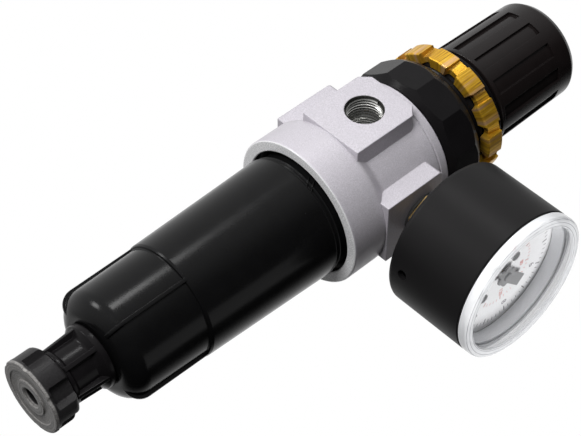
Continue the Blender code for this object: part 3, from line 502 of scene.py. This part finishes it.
def run_tree(tree, source, values):
    """Runs a geometry tree on a shape and gives the plain mesh that comes out."""
    holder = scratch(source if source else bmesh.new())
    modifier = holder.modifiers.new("tree", "NODES")
    modifier.node_group = tree
    for item in tree.interface.items_tree:
        if item.item_type == "SOCKET" and item.in_out == "INPUT" and item.name in values:
            modifier[item.identifier] = values[item.name]
    return baked(holder)


def new_tree(name, inputs):
    tree = bpy.data.node_groups.new(name, "GeometryNodeTree")
    tree.interface.new_socket("Geometry", in_out="OUTPUT", socket_type="NodeSocketGeometry")
    tree.interface.new_socket("Geometry", in_out="INPUT", socket_type="NodeSocketGeometry")
    for label, kind in inputs:
        tree.interface.new_socket(label, in_out="INPUT", socket_type=kind)
    g = Graph(tree)
    start = tree.nodes.new("NodeGroupInput")
    end = tree.nodes.new("NodeGroupOutput")
    given = {socket.name: Wire(g, socket) for socket in start.outputs if socket.name}
    return g, given, end


def close_tree(g, end, geometry, material):
    real = g.node("GeometryNodeRealizeInstances", None, geometry)
    done = g.node("GeometryNodeSetMaterial", None, real, None, material)
    g.tree.links.new(done.socket, end.inputs[0])
    return g.tree


def ring_tree():
    """Copies a shape round Z: Count copies, Step degrees apart, from Start degrees."""
    inputs = [("Count", "NodeSocketInt"), ("Start", "NodeSocketFloat"), ("Step", "NodeSocketFloat"),
              ("Material", "NodeSocketMaterial")]
    g, given, end = new_tree("ring_of_copies", inputs)
    points = g.node("GeometryNodePoints", None, given["Count"])
    index = g.node("GeometryNodeInputIndex")
    angle = (given["Start"] + index * given["Step"]) * math.radians(1)
    copies = g.node("GeometryNodeInstanceOnPoints", None,
                    at={"Points": points, "Instance": given["Geometry"], "Rotation": g.join(0, 0, angle)})
    return close_tree(g, end, copies, given["Material"])


def helix_tree():
    """Sweeps a small regular section along a helix about Z."""
    g, given, end = new_tree("helix", [("Radius", "NodeSocketFloat"), ("Pitch", "NodeSocketFloat"),
                                       ("Turns", "NodeSocketFloat"), ("Section", "NodeSocketFloat"),
                                       ("Sides", "NodeSocketInt"), ("Bottom", "NodeSocketFloat"),
                                       ("Material", "NodeSocketMaterial")])
    path = g.node("GeometryNodeCurveSpiral", None, 64, given["Turns"], given["Radius"], given["Radius"],
                  given["Pitch"] * given["Turns"])
    section = g.node("GeometryNodeCurvePrimitiveCircle", None, at={0: given["Sides"], 4: given["Section"]})
    sweep = g.node("GeometryNodeCurveToMesh", None, path, section, at={"Fill Caps": True})
    lifted = g.node("GeometryNodeSetPosition", None, sweep, at={"Offset": g.join(0, 0, given["Bottom"])})
    return close_tree(g, end, lifted, given["Material"])


RING, HELIX = ring_tree(), helix_tree()


def around(bm, count, start, step=None, material="satin"):
    return run_tree(RING, bm, {"Count": count, "Start": float(start), "Step": float(step or 360 / count),
                               "Material": FINISHES[material]})


def helix(radius, pitch, turns, section, sides, low, material="steel"):
    return run_tree(HELIX, None, {"Radius": float(radius), "Pitch": float(pitch), "Turns": float(turns),
                                  "Section": float(section), "Sides": sides, "Bottom": float(low),
                                  "Material": FINISHES[material]})


def piece(name, bm, material, body, slot, *nodes, sharp=32):
    """Makes a shape, in millimetres, a piece of the object that rides on a body."""
    bmesh.ops.scale(bm, verts=bm.verts, vec=(MM, MM, MM))
    bmesh.ops.recalc_face_normals(bm, faces=bm.faces)
    mesh = mesh_of(bm, name)
    mesh.materials.clear()
    mesh.materials.append(FINISHES[material])
    mesh.polygons.foreach_set("material_index", [0] * len(mesh.polygons))
    mesh.shade_smooth()
    mesh.set_sharp_from_angle(angle=math.radians(sharp))
    made = bpy.data.objects.new(name, mesh)
    bpy.context.collection.objects.link(made)
    tidy = made.modifiers.new("even_shading", "WEIGHTED_NORMAL")
    tidy.keep_sharp = True
    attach(made, body)
    if nodes:
        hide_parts(*nodes)
    return made


# ---------------------------------------------------------------- body and ports

def boss_outline(top_height, corner):
    return [(-BOSS_HALF, BOSS_BOTTOM), (BOSS_HALF, BOSS_BOTTOM), (BOSS_HALF, top_height - corner),
            (BOSS_HALF - corner, top_height), (corner - BOSS_HALF, top_height),
            (-BOSS_HALF, top_height - corner)]


def port_cutter(depth):
    return turned([(0, depth - 3.2), (3.0, depth - 3.2), (3.0, depth), (THREAD_MAJOR, depth + 0.6),
                   (THREAD_MAJOR, PORT_FACE - 0.22), (THREAD_MAJOR + 0.18, PORT_FACE),
                   (THREAD_MAJOR + 0.18, PORT_FACE + 1), (0, PORT_FACE + 1)], 96)


def make_body():
    shell = turned(rounded([(0, SKIRT_BOTTOM), (SKIRT_R, SKIRT_BOTTOM, 0.45), (SKIRT_R, -11.6, 2.6),
                            (BODY_R, -8.6, 2.6), (BODY_R, 9.85, 0.1), (BODY_R - 0.32, 9.95),
                            (BODY_R - 0.32, 10.2), (BODY_R, 10.3, 0.1), (BODY_R, RIM_TOP, 0.35),
                            (0, RIM_TOP)]), 160)
    port_block = spun(forward(prism(boss_outline(BOSS_TOP, 2.5), -PORT_FACE, PORT_FACE, 0.28)), 90)
    gauge_block = forward(prism(boss_outline(GAUGE_BOSS_TOP, 1.0), 0, PORT_FACE, 0.28))
    rear_block = moved(forward(prism(boss_outline(GAUGE_BOSS_TOP, 1.0), -PORT_FACE, 0, 0.28)), z=REAR_RISE)
    solid = joined(shell, port_block, gauge_block, rear_block)
    valve_space = turned([(0, 8.2), (1.6, 8.2), (1.6, 5.2), (8.4, 5.2), (8.4, -4.6), (5.6, -4.6),
                          (5.6, -9.6), (7.6, -9.6), (7.6, -18.0), (9.4, -18.0), (9.4, -9.6), (16.1, -9.6),
                          (16.1, -19.4), (SKIRT_BORE, -20.2), (SKIRT_BORE, SKIRT_BOTTOM + 0.3),
                          (SKIRT_BORE + 0.3, SKIRT_BOTTOM), (SKIRT_BORE + 0.3, SKIRT_BOTTOM - 1),
                          (0, SKIRT_BOTTOM - 1)], 144)
    diaphragm_space = turned([(0, 8.0), (13.2, 8.0), (13.2, 10.6), (16.2, 10.6), (16.2, RIM_TOP + 1),
                              (0, RIM_TOP + 1)], 144)
    ports = [spun(spun(port_cutter(10.0), 90, "Y"), angle) for angle in (0, 90, 180, -90)]
    feed = moved(turned([(0, -10.6), (2.3, -10.6), (2.3, -1), (0, -1)], 32), x=-12.9)
    shape = cut(solid, valve_space, diaphragm_space, feed, *ports)
    piece("cast_body", shape, "casting", "housing", "die_cast_metal", "body")
    for name, angle in (("inlet_thread", 180), ("outlet_thread", 0)):
        ridge = helix(THREAD_MAJOR - 0.04, THREAD_PITCH, 9.5, 0.47, 4, 11.0, "thread")
        piece(name, spun(spun(ridge, 90, "Y"), angle), "thread", "housing", "die_cast_metal", sharp=20)


# ---------------------------------------------------------------- bonnet, nut, knob

def make_bonnet():
    flats = prism(polygon(FLAT_RADIUS, 12, INDEX - 2), BONNET_BOTTOM, SHOULDER)
    cone = turned(rounded([(0, BONNET_BOTTOM), (17.6, BONNET_BOTTOM, 0.2), (20.1, 15.6), (20.1, 20.4),
                           (18.0, SHOULDER - 0.1, 0.4), (0, SHOULDER - 0.1)]), 240)
    head = combined(flats, [cone], "INTERSECT")
    neck = turned(rounded([(0, SHOULDER - 0.5), (NECK_R - 0.5, SHOULDER - 0.5), (NECK_R - 0.5, 32.9),
                           (NECK_R, 33.1, 0.15), (NECK_R, NECK_TOP, 0.5), (12.0, NECK_TOP, 0.2),
                           (12.0, 38.8, 0.3), (0, 38.8)]), 160)
    bore = turned([(0, BONNET_BOTTOM - 1), (11.4, BONNET_BOTTOM - 1), (11.4, 33.3), (5.0, 33.3), (5.0, 40),
                   (0, 40)], 96)
    slots = prism([(-13, -1.8), (13, -1.8), (13, 1.8), (-13, 1.8)], BONNET_BOTTOM - 1, 31.8)
    threads = helix(NECK_R - 0.5, 1.5, 5.5, 0.6, 4, SHOULDER + 0.6)
    piece("bonnet_shell", cut(joined(head, neck), bore, slots), "satin", "housing", "satin_black_plastic",
          "bonnet", sharp=20)
    piece("bonnet_thread", threads, "satin", "housing", "satin_black_plastic", sharp=20)


def make_panel_nut():
    """Twelve lobes, scooped apart from the side that faces the bonnet."""
    ring = turned(rounded([(NUT_BORE, NUT_BOTTOM, 0.3), (NUT_R - 0.05, NUT_BOTTOM, 0.5),
                           (NUT_R, NUT_TOP, 0.35), (NUT_BORE, NUT_TOP, 0.3)]), 240)
    gap = rounded([(-2.1, -1), (2.1, -1), (1.35, 1.7, 0.6), (-1.35, 1.7, 0.6)], 5)
    gap = moved(spun(spun(prism(gap, NUT_BORE - 1, NUT_R + 2), 90, "X"), 90), z=NUT_BOTTOM)
    side = [(NUT_R - 1.6, -1), (NUT_R - 1.6, 1.5), (NUT_R - 0.75, 6.0), (NUT_R + 2, 6.0), (NUT_R + 2, -1)]
    flat = moved(rib(side, 1.6), z=NUT_BOTTOM)
    scoops = [around(shape, 12, INDEX + 15, material="yellow") for shape in (gap, flat)]
    piece("ring_nut", cut(ring, *scoops), "yellow", "panel_nut", "yellow_passivated_metal", "panel_nut",
          sharp=28)


def make_knob():
    shell = turned(rounded([(12.3, KNOB_BOTTOM, 0.2), (KNOB_R, KNOB_BOTTOM, 0.35),
                            (KNOB_R - 0.38, KNOB_TOP - 2.0, 1.6), (KNOB_R - 1.75, KNOB_TOP, 1.3),
                            (0, KNOB_TOP), (0, 43.5), (5.6, 43.5), (5.6, 61.5), (12.3, 61.5)], 5), 240)
    socket = prism(polygon(3.1, 6), 42.5, 59.6)
    panel = [(KNOB_R - 0.95, -1.9), (KNOB_R - 0.62, 0), (KNOB_R - 0.95, 1.9), (KNOB_R + 1, 2.15),
             (KNOB_R + 1, -2.15)]
    cutter = prism(panel, KNOB_BOTTOM + 1.2, 59.0)
    lean = Matrix.Rotation(-0.0145, 3, "Y")
    bmesh.ops.rotate(cutter, verts=cutter.verts, cent=(KNOB_R, 0, KNOB_BOTTOM), matrix=lean)
    cutters = around(cutter, 12, 15)
    piece("grip_knob", cut(shell, cutters, socket), "knob", "adjusting_knob", "satin_black_plastic",
          "adjusting_knob", sharp=28)


# ---------------------------------------------------------------- bowl and drain

def rib(outline, half):
    return spun(prism(outline, -half, half, 0.18), 90, "X")


def arc(centre, radius, start, end, count):
    return [(centre[0] + polar(radius, start + (end - start) * i / count)[0],
             centre[1] + polar(radius, start + (end - start) * i / count)[1]) for i in range(count + 1)]


def make_bowl():
    shell = turned(rounded([(5.4, BOWL_END), (14.4, BOWL_END, 5.0), (14.75, STEP_Z - 0.1, 0.25),
                            (15.35, STEP_Z, 0.22), (15.6, STEP_Z + 0.6, 0.3), (16.6, LEDGE - 0.2, 0.35),
                            (15.8, LEDGE, 0.15), (15.8, -10.3, 0.3), (13.6, -10.3), (12.6, -80),
                            (9.5, -83.4), (5.4, -83.4)], 7), 200)
    seam = turned(rounded([(15.7, -24.1), (16.25, -23.6, 0.15), (16.25, -23.1, 0.15), (15.7, -22.8)]), 160)
    bend = (15.3 - 4.3, BOWL_END + 4.6)
    outline = [(14.2, STEP_Z + 0.9), (15.5, STEP_Z + 0.9), *arc(bend, 4.35, 0, -80, 9),
               (8.8, BOWL_END + 0.15), (8.8, BOWL_END + 1.6),
               *arc((bend[0] - 0.6, bend[1]), 3.2, -90, 0, 5)]
    ribs = around(rib(outline, 0.5), 4, INDEX, material="gloss")
    lug = spun(prism([(-1.6, -0.13), (1.6, -0.13), (1.6, 0.13), (-1.6, 0.13)], 15.9, 16.45, 0.06), 90, "Y")
    lugs = [spun(moved(spun(lug.copy(), 35, "X"), z=-23.5), angle) for angle in (-163, -157, 17, 23)]
    lug.free()
    piece("filter_bowl", merged(shell, ribs, seam, *lugs), "gloss", "bowl", "gloss_black_plastic", "bowl",
          sharp=40)


def make_drain():
    end = DRAIN_NECK_END
    core = turned(rounded([(1.6, -78.0), (1.6, -81.4), (3.3, -82.0), (3.3, end), (7.4, end, 0.25),
                           (7.4, end + 1.0, 0.4), (6.6, end + 1.6, 0.4), (6.6, FLANGE_BOTTOM - 1.4, 1.0),
                           (8.4, FLANGE_BOTTOM, 0.3), (8.6, BOWL_END - 0.3, 0.3), (5.1, BOWL_END - 0.3),
                           (5.1, -78.0, 0.3)], 5), 144)
    outline = [(6.0, end + 0.25), (7.7, end + 0.25), (8.25, FLANGE_BOTTOM + 0.6), (6.0, FLANGE_BOTTOM + 0.6)]
    ribs = around(rib(outline, 0.6), 6, INDEX + 2)
    piece("drain_neck", merged(core, ribs), "satin", "bowl", "satin_black_plastic", "drain_body", sharp=40)

    shell = turned(rounded([(0, CAP_END), (CAP_R, CAP_END, 0.4), (CAP_R, CAP_TOP, 1.5),
                            (0, CAP_TOP)], 5), 192)
    notch = [polar(7.7, -13), polar(7.85, 0), polar(7.7, 13), polar(CAP_R + 1.5, 20), polar(CAP_R + 1.5, -20)]
    notches = around(prism(notch, CAP_END + 1.3, CAP_TOP + 1, 0.35), 6, INDEX + 29)
    dents = around(moved(turned([(0, CAP_END - 1), (2.6, CAP_END - 1), (2.6, CAP_TOP), (0, CAP_TOP)], 32),
                         x=CAP_R + 2.15), 6, INDEX + 29)
    groove = turned(rounded([(4.7, CAP_END - 1), (4.7, CAP_END + 0.45, 0.2), (7.3, CAP_END + 0.25, 0.2),
                             (7.9, CAP_END - 1)]), 128)
    outlet = turned(rounded([(0, CAP_END - 1), (2.9, CAP_END - 1), (2.9, CAP_END), (2.3, CAP_END + 0.5),
                             (2.3, -100.7), (3.2, -100.7), (3.2, CAP_TOP + 1), (0, CAP_TOP + 1)]), 64)
    piece("drain_cap", cut(shell, notches, dents, groove, outlet), "cap", "drain_knob",
          "satin_black_plastic", "drain_knob", sharp=28)


# ---------------------------------------------------------------- gauge

def make_gauge():
    wall = CASE_R - 1.5
    case = turned(rounded([(5.0, CASE_BACK), (CASE_R, CASE_BACK, 1.5), (CASE_R, CASE_FRONT, 0.2),
                           (wall, CASE_FRONT), (wall, CASE_BACK + 1.5, 1.0), (5.0, CASE_BACK + 1.5)], 6), 200)
    drill = turned([(0, wall - 2), (1.35, wall - 2), (1.35, CASE_R + 1), (0, CASE_R + 1)], 40)
    hole = spun(moved(spun(drill, 90, "Y"), z=33.3), -98)
    piece("gauge_housing", forward(cut(case, hole)), "case", "housing", "black_paint", "gauge_case")

    window = turned(rounded([(0, LENS_FRONT - 1.6), (17.1, LENS_FRONT - 1.6, 0.3), (17.6, LENS_FRONT, 0.3),
                             (CASE_R, LENS_FRONT, 0.9), (CASE_R, CASE_FRONT + 0.3, 0.3),
                             (wall - 0.3, CASE_FRONT + 0.3), (wall - 0.3, DIAL_FRONT + 0.12),
                             (wall - 0.9, DIAL_FRONT + 0.12), (wall - 0.9, LENS_FRONT - 2.9, 0.3),
                             (0, LENS_FRONT - 2.9)]), 200)
    piece("gauge_window", forward(window), "clear", "housing", "clear_plastic", "gauge_lens", sharp=40)

    dial = turned(rounded([(0.9, DIAL_BACK), (17.8, DIAL_BACK), (17.8, DIAL_FRONT, 0.1),
                           (0.9, DIAL_FRONT)]), 144)
    piece("dial_plate", forward(dial), "dial", "housing", "dial_white", "gauge_dial")

    def ticks(inner, outer, half, count, step):
        bar = prism([(inner, -half), (outer, -half), (outer, half), (inner, half)],
                    DIAL_FRONT - 0.05, DIAL_FRONT + 0.03)
        return around(bar, count, 225, -step, "ink")

    def digits(words, radius, size, step):
        shapes = []
        for i, word in enumerate(words):
            text = bpy.data.curves.new("digits", "FONT")
            text.body, text.size, text.extrude = word, size, 0.04
            text.align_x, text.align_y = "CENTER", "CENTER"
            holder = bpy.data.objects.new("digits", text)
            bpy.context.collection.objects.link(holder)
            x, y = polar(radius, 225 - step * i)
            shapes.append(moved(baked(holder), x, y, DIAL_FRONT))
        return merged(*shapes)

    outer = merged(ticks(14.3, 16.0, 0.14, 11, 27), ticks(15.0, 16.0, 0.08, 51, 5.4),
                   digits([str(i) for i in range(0, 11, 2)], 12.4, 2.5, 54))
    piece("dial_scale", forward(outer), "ink", "housing", "dial_white")
    inner = merged(ticks(8.7, 9.9, 0.10, 8, 37.2), ticks(9.2, 9.9, 0.06, 36, 7.44),
                   digits(["0", "40", "80", "120"], 7.2, 1.7, 74.4))
    piece("dial_inner_scale", forward(inner), "red_ink", "housing", "dial_white")

    back = POINTER_BACK
    hub = turned(rounded([(0, back), (2.3, back, 0.1), (2.3, back + 0.5, 0.15), (1.3, back + 0.6),
                          (1.1, back + 1.1, 0.2), (0, back + 1.1)]), 64)
    blade = prism([(-1.7, -7.9), (1.7, -7.9), (1.7, -1), (0.5, 3.0), (0.1, 13.4), (-0.1, 13.4),
                   (-0.5, 3.0), (-1.7, -1)], back, back + 0.4, 0.05)
    lobe = turned([(0, back), (1.0, back), (1.0, back + 0.45), (0, back + 0.45)], 24)
    lobes = around(moved(lobe, x=2.05), 6, 30, material="pointer")
    hand = spun(merged(hub, blade, lobes), -225)
    piece("pointer_hand", forward(hand), "pointer", "pointer", "satin_black_plastic", "gauge_pointer")


def make_port_plug():
    """A headless plug, sunk a little below the rear face."""
    end, radius = PORT_FACE - 0.5, THREAD_MAJOR - 0.3
    plug = turned(rounded([(0, 13.6), (radius, 13.6, 0.4), (radius, end, 0.4), (0, end)]), 128)
    socket = prism(polygon(SOCKET_HALF, 6), end - 4, end + 1)
    piece("hex_plug", spun(cut(plug, socket), -90, "X"), "brass", "housing", "brass", "port_plug")


def make_spring(name, node, wire, turns):
    """A coil that stands on its lower end."""
    low, high = bottom(node), top(node)
    rise = high - low - 2 * wire
    shape = helix(reach(node) - wire, rise / turns, turns, wire, 10, low + wire)
    coil = piece(name, shape, "steel", "housing", "spring_steel", node)
    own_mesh(coil)


make_body()
make_spring("range_coil", "range_spring", 0.8, 5.0)
make_spring("valve_coil", "valve_spring", 0.25, 4.5)
make_bonnet()
make_panel_nut()
make_knob()
make_bowl()
make_drain()
make_gauge()
make_port_plug()

# Solids that keep their own shape take a finish.
KEPT = {
    "brass": ["spring_nut", "valve_seat", "valve_stem", "drain_nut", "drain_stem", "gauge_socket",
              "bourdon_tube", "movement_back_plate", "movement_front_plate", "pointer_pinion", "sector_gear"],
    "steel": ["adjusting_screw", "spring_rest", "relief_seat", "link"],
    "dial": ["dial_screw_upper", "dial_screw_lower"],
    "rubber": ["diaphragm", "poppet_seal", "bowl_o_ring", "drain_gasket", "drain_seal", "gauge_seal"],
    "nylon": ["slip_ring", "valve_guide", "louver", "baffle"],
    "sinter": ["filter_element"],
}
for finish_name, nodes in KEPT.items():
    for node in nodes:
        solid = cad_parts[node]
        for slot in solid.material_slots:
            slot.material = FINISHES[finish_name]
        if not solid.material_slots:
            solid.data.materials.append(FINISHES[finish_name])


# ---------------------------------------------------------------- room, light, view

def floor():
    """A pale floor under the object, which neither lights it nor shows in its gloss."""
    bm = bmesh.new()
    bmesh.ops.create_grid(bm, x_segments=1, y_segments=1, size=3.0)
    made = bpy.data.objects.new("floor", mesh_of(bm, "floor"))
    made.location = (0, 0, -0.30)
    made.data.materials.append(finish("pale_floor", (0.86, 0.86, 0.86), 0.7, 0.0,
                                      grained((0.84, 0.84, 0.84), (0.88, 0.88, 0.88), 40, 0.1, 0.7),
                                      Emission_Color=(1, 1, 1, 1), Emission_Strength=0.5))
    made.visible_diffuse = made.visible_glossy = False
    bpy.context.collection.objects.link(made)


def soft_light(name, place, size, power, mirrored, *lit):
    """A square lamp that faces the origin. It lights the things named, or else all but the floor."""
    lamp = bpy.data.lights.new(name, "AREA")
    lamp.shape, lamp.size, lamp.energy = "SQUARE", size, power
    made = bpy.data.objects.new(name, lamp)
    made.location = place
    made.rotation_euler = (-Vector(place)).to_track_quat("-Z", "Y").to_euler()
    made.visible_glossy = mirrored
    group = made.light_linking.receiver_collection = bpy.data.collections.new(name)
    for thing in lit or ("floor",):
        group.objects.link(bpy.data.objects[thing])
    if not lit:
        group.collection_objects[0].light_linking.link_state = "EXCLUDE"
    bpy.context.collection.objects.link(made)


VIEW_RIGHT = Vector((-0.00771, -0.68920, 0.72453))
VIEW_UP = Vector((-0.67577, 0.53765, 0.50425))
VIEW_BACK = Vector((-0.73707, -0.48573, -0.46989))


def camera():
    lens = bpy.data.cameras.new("camera")
    lens.lens, lens.sensor_width = 114.14, 36.0
    lens.shift_x, lens.shift_y = -0.0302, -0.0113
    lens.clip_start, lens.clip_end = 0.01, 20
    made = bpy.data.objects.new("camera", lens)
    turn = Matrix((VIEW_RIGHT, VIEW_UP, VIEW_BACK)).transposed().to_4x4()
    made.matrix_world = Matrix.Translation((-0.33347, -0.22121, -0.23268)) @ turn
    bpy.context.collection.objects.link(made)
    bpy.context.scene.camera = made


def surroundings():
    """A room that looks plain white, and lights the object softly from above."""
    world = bpy.data.worlds.new("room")
    bpy.context.scene.world = world
    world.use_nodes = True
    g = Graph(world.node_tree)
    direction = g.node("ShaderNodeTexCoord", None, out=0)
    behind = 1 - g.step(g.dot(direction, VIEW_BACK), -0.95, -0.35)
    seen = g.node("ShaderNodeLightPath")
    mirrored = g.node("ShaderNodeLightPath", out=3)
    slope = g.dot(direction, VIEW_UP * 0.86 - VIEW_RIGHT * 0.5)
    glossy = g.most(behind * 0.95, g.step(slope, -0.3, 0.85, 0.01, 1.0))
    matt = g.step(slope, -0.15, 0.95, 0.02, 0.34)
    strength = seen + (1 - seen) * (mirrored * glossy + (1 - mirrored) * matt)
    shader = world.node_tree.nodes["Background"]
    shader.inputs["Color"].default_value = (1, 1, 1, 1)
    world.node_tree.links.new(strength.socket, shader.inputs["Strength"])


floor()
surroundings()
camera()
soft_light("key", VIEW_UP * 0.16 + VIEW_BACK * 0.40 - VIEW_RIGHT * 0.12, 0.2, 2.3, False)
soft_light("side", VIEW_UP * 0.36 + VIEW_BACK * 0.24 - VIEW_RIGHT * 0.49, 0.16, 1.2, True)
soft_light("strip", VIEW_UP * 0.55 + VIEW_BACK * 0.28 - VIEW_RIGHT * 0.05, 0.10, 0.6, True)
soft_light("low_side", VIEW_RIGHT * 0.45 + VIEW_BACK * 0.1 - VIEW_UP * 0.28, 0.25, 0.15, True)
soft_light("gauge_fill", (0.25, -0.55, -0.05), 0.25, 3.2, False, "gauge_window", "dial_plate", "dial_scale",
           "dial_inner_scale", "pointer_hand")
bpy.context.scene.view_settings.view_transform = "Standard"
